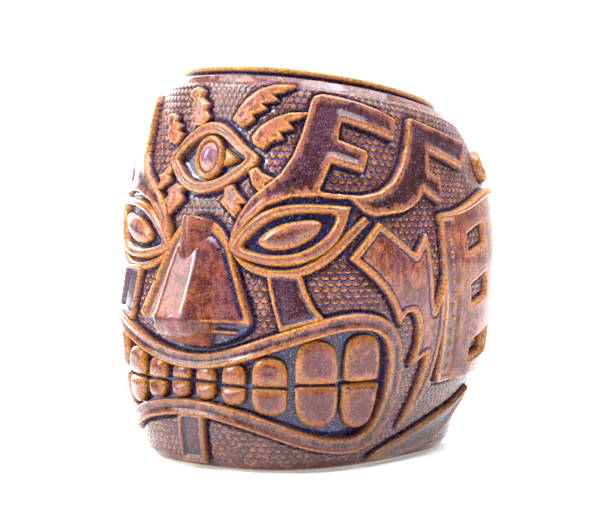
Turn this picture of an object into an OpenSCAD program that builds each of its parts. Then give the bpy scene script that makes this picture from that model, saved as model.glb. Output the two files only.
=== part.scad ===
// Tiki mug: a squat glazed drinking cup whose outside is a carved mask.
// The face looks along -Y and the foot stands on Z = 0. The origin is under the middle
// of the whole mug, and the cup's own axis is vertical, a little behind it.
// Every relief is placed by two numbers: its azimuth round the axis, in degrees
// from the face towards +X, and its level, in millimetres up the body.

/* [Vessel] */
// Level of the rim's seat, measured up the axis
rim_level = 113.6; // [100:0.1:125]
// Forward slope of the rim, so the front stands higher than the back
rim_slope = 0.2; // [0:0.01:0.3]
// Level where the body starts to lean with the rim
slope_from = 60; // [40:1:90]
// Squareness of the body's plan: 2 is an ellipse, more is squarer
plan_power = 2.72; // [2:0.02:4]
// Squareness of the rim's plan
rim_power = 2.16; // [2:0.02:4]
// Thickness of the fired wall
wall = 4.5; // [3:0.1:7]
// Thickness from the foot's recess to the inside floor
floor_thick = 5.4; // [4:0.1:8]
// Columns round the body
columns = 60; // [36:4:90]
// Distance of the cup's axis behind the middle of the mug, because the nose stands out
axis_back = 6.1; // [0:0.1:10]

/* [Foot] */
// Height of the foot ring
foot_height = 3.2; // [2:0.1:6]
// Width of the foot ring
foot_width = 7; // [4:0.5:12]
// Set back of the foot ring under the body
foot_inset = 0.7; // [0:0.1:2]

/* [Rim] */
// Thickness of the drinking rim
rim_thick = 4; // [3:0.1:6]
// Level of the shoulder ledge that the rim stands on
ledge_level = 111; // [108:0.1:113]
// Height of the rim above its seat level
rim_rise = 0.6; // [0:0.1:2]

/* [Relief] */
// Depth that each relief is bedded into the wall
bed = 0.9; // [0.5:0.1:2]
// Height of the flat carved bands
band_rise = 2.2; // [1:0.1:4]
// Height of the nose above the face
nose_rise = 13.5; // [8:0.5:16]
// Half width of the nose across its wings
nose_half = 19; // [12:0.5:22]
// Height of the teeth above the mouth
tooth_rise = 2.2; // [1:0.1:4]
// Height of the lips
lip_rise = 2.5; // [1:0.1:4]
// Half width of the lips
lip_half = 2.3; // [1.5:0.1:3.5]
// Height of the flame crest
flame_rise = 2; // [1:0.1:4]
// Height of the back panel
panel_rise = 1.8; // [1:0.1:4]
// Number of windows down each side of the back panel
panel_windows = 3; // [1:1:4]

/* [Colours] */
// Amber glaze on raised edges
amber = [0.72, 0.45, 0.16];
// Mauve brown glaze on broad bands
mauve = [0.50, 0.33, 0.31];
// Dark plum glaze in the ground
plum = [0.24, 0.17, 0.24];
// Unglazed clay of the foot
clay = [0.86, 0.80, 0.68];

/* [Hidden] */
// level, half width at the side, front radius, rear radius
profile = [
  [0, 37.5, 52.5, 41], [3, 39.5, 54.5, 42.6], [12, 42.2, 56.2, 45.2],
  [25, 47.5, 56, 49.2], [40, 51.6, 54.8, 51.3], [55, 53.3, 53.6, 52.6],
  [70, 53, 51.8, 53.4], [85, 51, 48.8, 52.8], [95, 48.8, 45.8, 51.3],
  [103, 46.6, 44.2, 49.1], [108, 44.2, 43, 46.8], [113.6, 39.4, 40.4, 40.6]
];
side_table = [for (p = profile) [p[0], p[1]]];
front_table = [for (p = profile) [p[0], p[2]]];
rear_table = [for (p = profile) [p[0], p[3]]];
wall_base = foot_height - 0.6;
floor_level = wall_base + floor_thick;

// ---- the body surface ----

// squareness of the plan at level e
function power(e) = lookup(e, [[85, plan_power], [rim_level, rim_power]]);

// radius of the body at azimuth a and level e
function rad(a, e) =
  let (f = cos(a) > 0 ? lookup(e, front_table) : lookup(e, rear_table),
       s = lookup(e, side_table), p = power(e))
  pow(pow(abs(sin(a)) / s, p) + pow(abs(cos(a)) / f, p), -1 / p);

// forward lean at level e
function lean(e) =
  let (t = min(1, max(0, (e - slope_from) / (rim_level - slope_from))))
  rim_slope * t * t * (3 - 2 * t);

// the point at azimuth a, level e and radius r
function place(a, e, r) = [r * sin(a), axis_back - r * cos(a), e + lean(e) * r * cos(a)];

// the point on the body, h proud of it
function at(a, e, h = 0) = place(a, e, rad(a, e) + h);

function unit(v) = v / norm(v);

// outward direction of the body
function outward(a, e) = unit(cross(at(a + 1, e) - at(a - 1, e), at(a, e + 1) - at(a, e - 1)));

// the point h proud of the body, measured square to its surface
function proud(a, e, h) = at(a, e) + outward(a, e) * h;

// ---- shape builders ----

// closed solid from rows of points; wrap joins the last row to the first
module rows_solid(rows, wrap = false) {
  n = len(rows);
  m = len(rows[0]);
  pts = [for (r = rows) each r];
  last = wrap ? n - 1 : n - 2;
  skin = [for (i = [0:last], j = [0:m - 1])
    let (k = (i + 1) % n, l = (j + 1) % m)
    each [[i * m + j, k * m + l, i * m + l], [i * m + j, k * m + j, k * m + l]]];
  foot = n * m - m;
  ends = wrap ? [] : [for (j = [0:ceil(m / 2) - 2])
    let (u = m - 1 - j)
    each [
      [j, j + 1, u - 1], [j, u - 1, u],
      [foot + j, foot + u - 1, foot + j + 1], [foot + j, foot + u, foot + u - 1]
    ]];
  faces = [for (f = concat(skin, ends)) if (f[0] != f[1] && f[1] != f[2] && f[2] != f[0]) f];
  // the faces are turned over when they enclose a negative volume
  size = [for (f = faces) cross(pts[f[0]], pts[f[1]]) * pts[f[2]]] * [for (f = faces) 1];
  polyhedron(
    points = pts,
    faces = size < 0 ? faces : [for (f = faces) [f[2], f[1], f[0]]],
    convexity = 8
  );
}

// curve through the stations with k steps between each pair
function soften(p, k) =
  let (n = len(p))
  concat([for (i = [0:n - 2], j = [0:k - 1])
    let (t = j / k, a = p[max(0, i - 1)], b = p[i], c = p[i + 1], d = p[min(n - 1, i + 2)])
    0.5 * (2 * b + (c - a) * t + (2 * a - 5 * b + 4 * c - d) * t * t
      + (3 * b - a - 3 * c + d) * t * t * t)], [p[n - 1]]);

// raised strip between two rails of [azimuth, level]; its underside is deep below the surface
// and cuts sets how finely a wide strip follows the curve of the body
module strip(left, right, rise, deep = bed, wrap = false, cuts = 1) {
  function h(i) = is_list(rise) ? rise[i] : rise;
  inside = [for (j = [0:2 * cuts]) 0.1 + 0.4 * j / cuts];
  rows_solid([for (i = [0:len(left) - 1])
    let (edge = min(0.6, h(i) * 0.45), crown = cuts > 1 ? 0 : min(0.25, h(i) * 0.15))
    [for (q = concat(
      [[0, h(i) - edge]],
      [for (t = inside) [t, t == 0.5 ? h(i) + crown : h(i)]],
      [[1, h(i) - edge], [1, -deep]],
      cuts > 1 ? [for (j = [2 * cuts:-1:0]) [inside[j], -deep]] : [],
      [[0, -deep]]
    ))
    proud(
      left[i][0] + (right[i][0] - left[i][0]) * q[0],
      left[i][1] + (right[i][1] - left[i][1]) * q[0],
      q[1]
    )]], wrap);
}

// rail on one side of a path whose stations are [azimuth, level, half width, rise]
function rail(path, side, wrap) =
  let (n = len(path))
  [for (i = [0:n - 1])
    let (b = wrap ? path[(i + n - 1) % n] : path[max(0, i - 1)],
         c = wrap ? path[(i + 1) % n] : path[min(n - 1, i + 1)],
         p = path[i], k = 57.3 / rad(p[0], p[1]),
         dx = (c[0] - b[0]) / k, dy = c[1] - b[1], l = norm([dx, dy]))
    [p[0] + side * p[2] * k * dy / l, p[1] - side * p[2] * dx / l]];

// carved band along a path
module band(path, deep = bed, wrap = false) {
  strip(rail(path, -1, wrap), rail(path, 1, wrap), [for (p = path) p[3]], deep, wrap);
}

// even width and rise along a plain path of [azimuth, level]
function even(p, w, h) = [for (q = p) [q[0], q[1], w, h]];

// stations round a circle of radius r about a point of the body
function ring(a, e, r, w, h, k) =
  let (s = 57.3 / rad(a, e))
  [for (i = [0:k - 1]) [a + r * s * sin(360 * i / k), e + r * cos(360 * i / k), w, h]];

// the same piece on the other side of the face
module other(side) {
  mirror([side < 0 ? 1 : 0, 0, 0])
  children();
}

// ---- vessel ----

module cup_wall() {
  outer = [
    3.4, 7, 12, 18, 25, 32, 40, 48, 55, 62, 70, 78, 85, 90, 95, 99, 103, 106, 108, 109.6,
    ledge_level
  ];
  inner = [105, 100, 93, 84, 72, 60, 48, 36, 26, 18, 12, floor_level + 1.2];
  az = [for (i = [0:columns - 1]) i * 360 / columns];
  color(plum)
  rows_solid(concat(
    [[for (a = az) place(a, wall_base, rad(a, wall_base) - 0.6)]],
    [for (e = outer) [for (a = az) at(a, e)]],
    [[for (a = az) place(a, ledge_level, rad(a, rim_level) - rim_thick)]],
    [for (e = inner) [for (a = az) at(a, e, -wall)]],
    [[for (a = az) place(a, floor_level, rad(a, floor_level) - wall - 3)]]
  ));
}

module foot_ring() {
  az = [for (i = [0:columns - 1]) i * 360 / columns];
  function line(inset) = [for (a = az) let (r = rad(a, 1.5) - inset) [r * sin(a), axis_back - r * cos(a)]];
  color(clay)
  linear_extrude(height = foot_height) {
    difference() {
      polygon(line(foot_inset));
      polygon(line(foot_inset + foot_width));
    }
  }
}

module rim_lip() {
  // distance inward from the rim circle, and level
  section = [
    [rim_thick, ledge_level - 0.6], [0.9, ledge_level - 0.6], [0.9, rim_level - 1.9],
    [0.2, rim_level - 1.3], [-0.1, rim_level - 0.6], [0.3, rim_level + 0.2],
    [1.2, rim_level + rim_rise], [rim_thick - 1.2, rim_level + rim_rise],
    [rim_thick - 0.3, rim_level + 0.1], [rim_thick, rim_level - 0.6]
  ];
  az = [for (i = [0:columns - 1]) i * 360 / columns];
  color(amber)
  rows_solid([for (a = az) [for (q = section) place(a, q[1], rad(a, rim_level) - q[0])]], true);
}

// ---- nose ----

// cross-section of the nose: level, half width, rise of the ridge, half width of the ridge
function nose_slice(e, half, rise, ridge) =
  let (c = at(0, e), sag = half * half / 105, back = -bed - sag - 0.5)
  [for (q = [
    [-half, back], [-half, 0.7 + rise * 0.1 - sag],
    [-half * 0.9, 1.2 + rise * 0.12 - sag], [-ridge, rise - 0.5],
    [-ridge * 0.5, rise], [ridge * 0.5, rise],
    [ridge, rise - 0.5], [half * 0.9, 1.2 + rise * 0.12 - sag], [half, 0.7 + rise * 0.1 - sag], [half, back]
  ])
  c + [q[0], -q[1], 0]];

module nose() {
  // level, share of the half width, share of the rise, half width of the ridge
  slices = [
    [74, 0.14, 0.16, 1], [72.6, 0.32, 0.27, 1.6], [70, 0.46, 0.4, 3], [66, 0.6, 0.51, 4.4],
    [60, 0.74, 0.66, 4.8], [54, 0.86, 0.82, 4.9], [49, 0.95, 0.95, 5], [46, 1, 1, 5.2],
    [43.5, 0.86, 0.99, 5.3], [41.2, 0.62, 0.88, 5.2], [39.6, 0.44, 0.68, 4.8], [38.4, 0.3, 0.42, 4]
  ];
  color(mauve)
  rows_solid([for (s = slices) nose_slice(s[0], s[1] * nose_half, s[2] * nose_rise, s[3])]);
}

// ---- brows and eyes ----

module brow_fret(side) {
  h = band_rise;
  stem = [
    [13, 67.5, 0.6, 0.8], [15.5, 72.5, 1.6, h], [21, 77.6, 2.4, h], [29, 81.6, 3.2, h],
    [36, 86.5, 4.8, h], [40.5, 92.5, 5.6, h], [43, 98.5, 4.9, h], [43.6, 104.6, 4, h]
  ];
  top_bar = even([[41, 102.9], [48, 102.7], [55, 102.1], [62, 101], [69, 99.4]], 3.1, h - 0.2);
  tooth = even([[44, 91.5], [50, 91], [56.5, 89.7]], 2.7, h - 0.3);
  lower = [
    [30, 80.2, 2, h], [42, 78.8, 2.2, h], [55, 78.6, 2.5, h], [64.5, 80, 3.2, h],
    [70.5, 84, 3.8, h], [75, 89.6, 4.1, h], [78, 95, 4.3, h], [79.6, 101.2, 4, h]
  ];
  rear_bar = even([[75, 98.7], [84, 98.3], [92, 97.6], [100, 96.6], [107, 95.4]], 3.7, h - 0.2);
  rear_tooth = even([[77, 87], [83, 85.8], [89, 84.2]], 3, h - 0.3);
  color(mauve)
  other(side) {
    band(soften(stem, 2), bed + 0.3);
    band(soften([for (q = lower) q - [0, 0, 0, 0.1]], 2), bed + 0.15);
    for (p = [top_bar, rear_bar]) {
      band(p);
    }
    for (p = [tooth, rear_tooth]) {
      band(p, bed - 0.15);
    }
  }
}

module eye_socket(side) {
  path = [
    [13.6, 65.6], [19, 62.2], [27, 60.4], [35.5, 61], [43.5, 65], [49.8, 70.4], [55.6, 75.6]
  ];
  color(amber)
  other(side)
  band(soften(even(path, 1.1, 1.4), 2));
}

module eyelid(side) {
  outer = [
    [12, 66.2], [15.4, 71.4], [22.6, 76.6], [31.4, 79], [41, 79.5], [50.4, 78.8],
    [48.6, 72.4], [43.6, 67.2], [36.4, 63.6], [28.4, 62.4], [19.4, 63.4]
  ];
  inner = [
    [16.6, 67.4], [19.4, 70.2], [25.6, 74], [32.6, 76.2], [40.6, 76.6], [46, 75.8],
    [44.6, 72.6], [41, 69.6], [35.6, 66.8], [28.8, 65.6], [21.6, 66]
  ];
  color(amber)
  other(side)
  strip(outer, inner, band_rise, bed, true);
}

module eyeball(side) {
  bean = [
    [22.6, 69.2, 0.8, 0.8], [25.5, 70, 2.2, 1.9], [29.5, 70.4, 2.9, 2.5], [34, 70.8, 3, 2.5],
    [38, 71.6, 2.2, 1.9], [40.6, 72.4, 0.8, 0.8]
  ];
  color(amber)
  other(side)
  band(soften(bean, 2));
}

module third_eye_lid() {
  outer = [
    [-17.6, 88.4], [-11, 93.8], [-4.4, 97], [2, 97.4], [10, 94.8], [22, 88.5],
    [13, 83.2], [5.4, 80.6], [-2.2, 80], [-10.4, 82.2]
  ];
  inner = [
    [-14, 88.4], [-9.6, 91.6], [-3.6, 94.2], [2, 94.6], [8, 92.4], [16.4, 88.5],
    [11, 85.6], [4.6, 83.8], [-1.8, 83.2], [-8, 85]
  ];
  color(amber)
  strip(outer, inner, band_rise, bed, true);
}

module third_eye_iris() {
  tear = [[7.8, 89.2, 1.9, 1.4], [10, 89, 1.2, 1.4], [13.4, 88.6, 0.3, 0.8]];
  color(amber) {
    band(ring(0, 89, 4.3, 0.75, 1.9, 24), bed, true);
    band(tear);
  }
}

module third_eye_pupil() {
  n = outward(0, 89);
  // radius and rise of the dome
  steps = [[3.3, -bed], [3.3, 0.9], [3, 1.9], [2.2, 2.7], [1.1, 3.1], [0.3, 3.2]];
  s = unit(cross([0, 0, 1], n));
  u = cross(n, s);
  color(mauve)
  rows_solid([for (q = steps) [for (i = [0:23])
    at(0, 89) + n * q[1] + (s * cos(i * 15) + u * sin(i * 15)) * q[0]]]);
}

// ---- lashes ----

// leaf bent sideways, with barbs along its outer side
module leaf(base, tip, bend, w) {
  k = 57.3 / rad(base[0], base[1]);
  d = [(tip[0] - base[0]) / k, tip[1] - base[1]];
  n = [d[1], -d[0]] / norm(d);
  function spot(t, off) =
    let (v = d * t + n * (off + bend * 4 * t * (1 - t)))
    [base[0] + v[0] * k, base[1] + v[1]];
  band([for (q = [[0, 0.8], [0.2, 1], [0.45, 1], [0.7, 0.75], [1, 0.12]])
    concat(spot(q[0], 0), [q[1] * w, 1.9])]);
  for (t = [0.22, 0.52]) {
    band([
      concat(spot(t, w * 0.3), [w * 0.5, 1.6]),
      concat(spot(t + 0.14, w * 0.95), [w * 0.3, 1.4]),
      concat(spot(t + 0.3, w * 1.5), [0.2, 1])
    ], bed - 0.2);
  }
}

module lashes_upper() {
  color(mauve) {
    leaf([-17, 93.2], [-23, 99.6], 0, 1.6);
    leaf([-5.6, 97.6], [-10.5, 105.4], -0.3, 1.8);
    leaf([10.5, 97], [31, 106.8], -1.2, 2.2);
    leaf([18, 93], [37, 100.6], -1, 2.2);
  }
}

module lashes_lower() {
  color(mauve) {
    leaf([-17.5, 86], [-21.6, 80.8], 0, 1.5);
    leaf([-11.5, 82], [-16, 75.4], 0.3, 1.8);
    leaf([7, 81.4], [11.5, 75], -0.4, 2);
    leaf([15.4, 85.2], [22, 80.6], -0.3, 1.8);
  }
}

// ---- cheeks, mouth and chin ----

module cheek_strap(side) {
  left = [[26.6, 60], [27.6, 54], [29, 48], [30.6, 43.2]];
  right = [[35.4, 59.6], [37.2, 54.4], [39.6, 49.4], [42, 46.4]];
  color(mauve)
  other(side) {
    strip(left, right, 0.8, bed + 0.2);
    band(soften(even(left, 0.8, 2), 2));
    band(soften(even(right, 0.9, 2), 2));
  }
}

// right half of the mouth's centre line, from the top middle round to the bottom middle
mouth = [
  [0, 32.8], [9, 33.6], [18.5, 36], [28.5, 39.6], [38.5, 43.1], [46.5, 45.5], [53.5, 46.1],
  [59.5, 44.7], [63.8, 41], [66, 35], [66.5, 27], [65.4, 19], [62.4, 13], [57, 9.2],
  [50.5, 8], [42.5, 8.8], [34.5, 11], [26.5, 14], [18.5, 16.4], [9, 18.2], [0, 18.8]
];

module lips() {
  n = len(mouth);
  loop = concat(mouth, [for (i = [n - 2:-1:1]) [-mouth[i][0], mouth[i][1]]]);
  color(mauve)
  band(even(loop, lip_half, lip_rise), bed, true);
}

// azimuth, bottom, parting, top and half width of each tooth on one side
teeth = [
  [4.9, 21.7, 26.8, 31.4, 3.2], [15.2, 20.9, 26.2, 32.4, 3.6], [26.6, 18.4, 26.3, 34.8, 4.9],
  [40.4, 14.9, 27.2, 40, 6], [54.6, 13.8, 27.7, 41.6, 5.6]
];

// half tooth from its flat end to its rounded end
module half_tooth(a, flat_end, round_end, w) {
  d = round_end - flat_end;
  h = tooth_rise;
  band([for (q = [[0, 0.94, 0.8], [0.12, 1, 1], [0.55, 0.97, 1], [0.84, 0.72, 0.85], [1, 0.32, 0.6]])
    [a, flat_end + d * q[0], w * q[1], h * q[2]]]);
}

module teeth_upper() {
  color(amber)
  for (side = [1, -1], t = teeth) {
    half_tooth(side * t[0], t[2] + 0.45, t[3], t[4]);
  }
}

module teeth_lower() {
  color(amber)
  for (side = [1, -1], t = teeth) {
    half_tooth(side * t[0], t[2] - 0.45, t[1], t[4]);
  }
}

module chin_strap() {
  color(mauve) {
    strip([[-4.6, 16.6], [-4.6, 3.2]], [[4.6, 16.6], [4.6, 3.2]], 0.8, bed + 0.2);
    for (side = [1, -1]) {
      band(even([[side * 4.4, 16.9], [side * 4.4, 10], [side * 4.4, 3.4]], 0.9, 2));
    }
  }
}

// ---- flame crest and jaw ----

module flame(side) {
  left = [
    [49.5, 64.6], [56.5, 58.6], [61.6, 53], [64.6, 46.6], [69.4, 40], [72.6, 33],
    [76.4, 26], [76.6, 18], [74, 11.4]
  ];
  right = [
    [71, 65], [80.4, 60], [82, 50.6], [88.4, 48], [89, 39], [88.4, 31], [87, 25],
    [84.6, 19], [77, 12.4]
  ];
  h = flame_rise;
  color(mauve)
  other(side) {
    strip(left, right, h, bed + 0.3);
    strip([[49.8, 64.2], [54.6, 69.6], [59, 74.4]], [[71, 64.4], [66, 69.4], [59.6, 74.4]], h - 0.2);
    strip([[70, 63], [73.6, 68], [76, 70.6]], [[80.4, 59.4], [78.6, 65.2], [76.6, 70.6]], h - 0.3);
    strip([[81.6, 50], [84.6, 54.4], [87, 58]], [[88.6, 47.4], [88, 53], [87.6, 58]], h - 0.2);
  }
}

module jaw_band(side) {
  upper = [
    [62, 3.2], [67, 4.7], [73, 6.3], [82, 8.4], [92, 10.9], [101, 13.4], [112, 17], [124, 21.6]
  ];
  lower = [
    [62, 2.6], [67, 2.6], [73, 2.6], [82, 2.7], [92, 3], [101, 4.8], [112, 8.6], [124, 17.4]
  ];
  color(mauve)
  other(side) {
    strip(upper, lower, 1.2, bed + 0.2);
    band(soften(even(upper, 0.8, 2), 2));
  }
}

// ---- back ----

// front border of the back panel, from the top down
panel_edge = [
  [86.2, 76.4], [87, 68], [88.2, 58], [89.5, 49], [90, 41], [91.4, 32.6], [92.5, 24.8]
];
panel_steps = [for (q = panel_edge) [-q[1], q[0]]];
function edge_at(e) = lookup(-e, panel_steps);

// top and bottom lines of the back panel on one side, out to the middle of the back
lip_line = [
  [85.8, 76.3, 0.9, 2.4], [90, 76.6, 1.2, 2.8], [99, 77.8, 1.6, 3], [107, 80.2, 1.8, 3.2],
  [118, 84, 2, 3.2], [128, 85, 2, 3.2], [140, 85.2, 2, 3.2], [153, 85.2, 2, 3.2],
  [167, 85.2, 2, 3.2]
];
base_line = [
  [93, 25, 0.9, 2], [98, 25.3, 0.9, 2], [105, 26, 0.9, 2], [114, 26.8, 0.9, 2],
  [126, 27, 0.9, 2], [140, 27, 0.9, 2], [153, 27, 0.9, 2], [167, 27, 0.9, 2]
];

// path across the back from one side to the other
function across(half) = concat(half, [[180, half[len(half) - 1][1], half[0][2], half[0][3]]],
  [for (i = [len(half) - 1:-1:0]) [360 - half[i][0], half[i][1], half[i][2], half[i][3]]]);

module back_panel() {
  levels = [82, 72, 62, 52, 42, 32, 29.4];
  pitch = 48 / panel_windows;
  color(mauve) {
    strip(
      [for (e = levels) [edge_at(e) + 24, e]],
      [for (e = levels) [336 - edge_at(e), e]],
      panel_rise, bed + 0.3, false, 7
    );
    band(across(base_line));
    for (side = [1, -1]) {
      other(side) {
        band(soften(even(panel_edge, 0.9, 2), 2));
        strip(
          [for (e = [76.3, 70, 60, 50, 40, 33, 26]) [edge_at(e) + 3.4, e]],
          [for (e = [78.6, 71, 61, 51, 41, 34, 26.9]) [edge_at(e) + 13.5, e]],
          panel_rise - 0.2, bed + 0.15, false, 3
        );
        for (i = [0:panel_windows]) {
          e = 76 - i * pitch;
          strip(
            [[edge_at(e) + 13, e + 2.6], [edge_at(e) + 13, e - 3.8]],
            [[edge_at(e) + 25, e + 5], [edge_at(e) + 25, e - 1.4]],
            panel_rise - 0.4
          );
        }
      }
    }
  }
}

module panel_lip() {
  color(amber)
  band(across(lip_line));
}

// dashes that stand on the front margin of the panel
module panel_stitches(side) {
  color(amber)
  other(side)
  for (i = [0:10]) {
    e = 68 - i * 3.9;
    a = edge_at(e) + 5.4;
    band([[a, e + 1.3, 0.4, 1.9], [a, e + 0.6, 0.7, 2.5], [a, e - 0.6, 0.7, 2.5], [a, e - 1.3, 0.4, 1.9]]);
  }
}

module back_scroll(side) {
  // curl that opens outward, wound one and a quarter turns
  curl = [for (i = [0:24])
    let (t = i / 24, r = 1.6 + 5.4 * t, w = 450 * t)
    [124 + r * 1.15 * sin(w), 93 + r * cos(w), 0.7 + 0.5 * t, 1.8]];
  color(amber)
  other(side)
  band(curl);
}

// ---- drawing ----

cup_wall();
foot_ring();
rim_lip();
nose();
brow_fret(1);  // brow_fret_r
brow_fret(-1);  // brow_fret_l
eye_socket(1);  // eye_socket_r
eye_socket(-1);  // eye_socket_l
eyelid(1);  // eyelid_r
eyelid(-1);  // eyelid_l
eyeball(1);  // eyeball_r
eyeball(-1);  // eyeball_l
third_eye_lid();
third_eye_iris();
third_eye_pupil();
lashes_upper();
lashes_lower();
cheek_strap(1);  // cheek_strap_r
cheek_strap(-1);  // cheek_strap_l
lips();
teeth_upper();
teeth_lower();
chin_strap();
flame(1);  // flame_r
flame(-1);  // flame_l
jaw_band(1);  // jaw_band_r
jaw_band(-1);  // jaw_band_l
back_panel();
panel_lip();
panel_stitches(1);  // panel_stitches_r
panel_stitches(-1);  // panel_stitches_l
back_scroll(1);  // back_scroll_r
back_scroll(-1);  // back_scroll_l
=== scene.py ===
import math

import bpy
import numpy as np
from mathutils import Matrix, Vector


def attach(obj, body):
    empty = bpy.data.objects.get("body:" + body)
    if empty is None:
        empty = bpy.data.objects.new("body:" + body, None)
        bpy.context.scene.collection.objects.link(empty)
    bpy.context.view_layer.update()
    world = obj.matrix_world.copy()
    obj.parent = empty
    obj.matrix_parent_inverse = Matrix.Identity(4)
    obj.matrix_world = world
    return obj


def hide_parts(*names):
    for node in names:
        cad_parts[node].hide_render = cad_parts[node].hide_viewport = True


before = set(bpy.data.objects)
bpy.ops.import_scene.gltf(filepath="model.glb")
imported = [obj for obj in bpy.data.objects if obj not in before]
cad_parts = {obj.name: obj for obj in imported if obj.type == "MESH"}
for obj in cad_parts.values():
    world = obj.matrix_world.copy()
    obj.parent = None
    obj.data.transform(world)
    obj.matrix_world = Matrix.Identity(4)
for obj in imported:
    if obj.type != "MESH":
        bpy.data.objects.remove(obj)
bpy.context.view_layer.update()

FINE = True

# ---------------------------------------------------------------- body surface
# Everything is placed by azimuth (degrees from the face, -Y, towards +X) and
# level (millimetres up the body), as in the CAD.

LEVEL = np.array([0, 3, 12, 25, 40, 55, 70, 85, 95, 103, 108, 113.6])
SIDE = np.array([37.5, 39.5, 42.2, 47.5, 51.6, 53.3, 53, 51, 48.8, 46.6, 44.2, 39.4])
FRONT = np.array([52.5, 54.5, 56.2, 56, 54.8, 53.6, 51.8, 48.8, 45.8, 44.2, 43, 40.4])
REAR = np.array([41, 42.6, 45.2, 49.2, 51.3, 52.6, 53.4, 52.8, 51.3, 49.1, 46.8, 40.6])
RIM = 113.6
LEDGE = 111.0
SLOPE = 0.2
SLOPE_FROM = 60.0
BACK = 6.1
WALL = 4.5
THICKER = 2.0  # added to the wall low down
FLOOR = 8.0  # inside of the cup
RECESS = 2.6  # hollow under the foot
FOOT_AT = 1.5  # level whose outline the foot follows
# the scales: columns round the body, their pitches in degrees and mm, and their length
COLUMNS = 138
SCALE_A = 360 / COLUMNS
SCALE_E = 1.8
REACH_BASE, REACH_BOW = 0.92, 0.6


def step(x, lo, hi):
    """Smooth step from 0 at lo to 1 at hi."""
    t = np.clip((np.asarray(x, float) - lo) / (hi - lo), 0, 1)
    return t * t * (3 - 2 * t)


def curve(e, table):
    """Smooth value of a table over the body's levels."""
    x = LEVEL
    e = np.clip(e, x[0], x[-1])
    i = np.clip(np.searchsorted(x, e, side="right") - 1, 0, len(x) - 2)
    m = np.empty_like(table)
    m[1:-1] = (table[2:] - table[:-2]) / (x[2:] - x[:-2])
    m[0] = (table[1] - table[0]) / (x[1] - x[0])
    m[-1] = (table[-1] - table[-2]) / (x[-1] - x[-2])
    h = x[i + 1] - x[i]
    t = (e - x[i]) / h
    return ((2 * t**3 - 3 * t**2 + 1) * table[i] + (t**3 - 2 * t**2 + t) * h * m[i]
            + (3 * t**2 - 2 * t**3) * table[i + 1] + (t**3 - t**2) * h * m[i + 1])


def radius(a, e):
    """Distance of the body's surface from its axis: a rounded square, rounder at the rim."""
    a = np.radians(a)
    c = np.cos(a)
    f = np.where(c > 0, curve(e, FRONT), curve(e, REAR))
    p = np.interp(e, [85, RIM], [2.72, 2.16])
    r = ((np.abs(np.sin(a)) / curve(e, SIDE)) ** p + (np.abs(c) / f) ** p) ** (-1 / p)
    # the slight unevenness of a hand-made model
    w = 0.10 * np.sin(3 * a + 0.07 * e + 0.6) + 0.08 * np.sin(5 * a - 0.11 * e + 2.1)
    return r + w * step(e, 0, 12) * step(-e, -108, -96)


def outline(a, level):
    """The body's radii at one level."""
    return radius(a, np.full(len(a), float(level)))


def place(a, e, r):
    """Points at azimuth a and level e, r from the axis; the upper body slopes up to the face."""
    c = np.cos(np.radians(a))
    lean = SLOPE * step(e, SLOPE_FROM, RIM)
    x, y, z = r * np.sin(np.radians(a)), BACK - r * c, e + lean * r * c
    return np.stack(np.broadcast_arrays(x, y, z), -1)


def proud(a, e, h):
    """Points h mm proud of the body, square to its surface."""
    p = place(a, e, radius(a, e))
    da = place(a + 0.5, e, radius(a + 0.5, e)) - place(a - 0.5, e, radius(a - 0.5, e))
    de = place(a, e + 0.4, radius(a, e + 0.4)) - place(a, e - 0.4, radius(a, e - 0.4))
    n = np.cross(da, de)
    n /= np.linalg.norm(n, axis=-1, keepdims=True)
    return p + n * np.asarray(h)[..., None]


def per_degree(a, e):
    """Millimetres round the body per degree of azimuth."""
    return float(radius(np.array(a, float), np.array(e, float))) * math.pi / 180


# ---------------------------------------------------------------- outlines

def P(*pairs):
    return np.array(pairs, float)


def flip(poly):
    return poly * [-1, 1]


def smooth(poly, k, closed=True):
    """Curve through the corners, k points for each."""
    n = len(poly)
    out = []
    for i in range(n if closed else n - 1):
        a = poly[(i - 1) % n] if closed else poly[max(0, i - 1)]
        b, c = poly[i], poly[(i + 1) % n]
        d = poly[(i + 2) % n] if closed else poly[min(n - 1, i + 2)]
        for j in range(k):
            t = j / k
            out.append(0.5 * (2 * b + (c - a) * t + (2 * a - 5 * b + 4 * c - d) * t * t
                              + (3 * b - a - 3 * c + d) * t**3))
    if not closed:
        out.append(poly[-1])
    return np.array(out)


def rails(path, half, closed=False):
    """The two sides of a band of half width `half` mm along a path."""
    n = len(path)
    half = np.broadcast_to(np.asarray(half, float), (n,))
    a, b = [], []
    for i in range(n):
        p0 = path[i - 1] if closed or i else path[0]
        p1 = path[(i + 1) % n] if closed or i < n - 1 else path[i]
        k = per_degree(*path[i])
        d = np.array([(p1[0] - p0[0]) * k, p1[1] - p0[1]])
        d /= np.linalg.norm(d)
        off = np.array([d[1] / k, -d[0]]) * half[i]
        a.append(path[i] - off)
        b.append(path[i] + off)
    return np.array(a), np.array(b)


def ribbon(path, half, k=3):
    """Closed outline of a band; the half width may vary."""
    n = len(path)
    half = np.broadcast_to(np.asarray(half, float), (n,))
    q = smooth(np.column_stack([path, half]), k, closed=False)
    a, b = rails(q[:, :2], np.maximum(q[:, 2], 0.05))
    return np.concatenate([a, b[::-1]])


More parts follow.
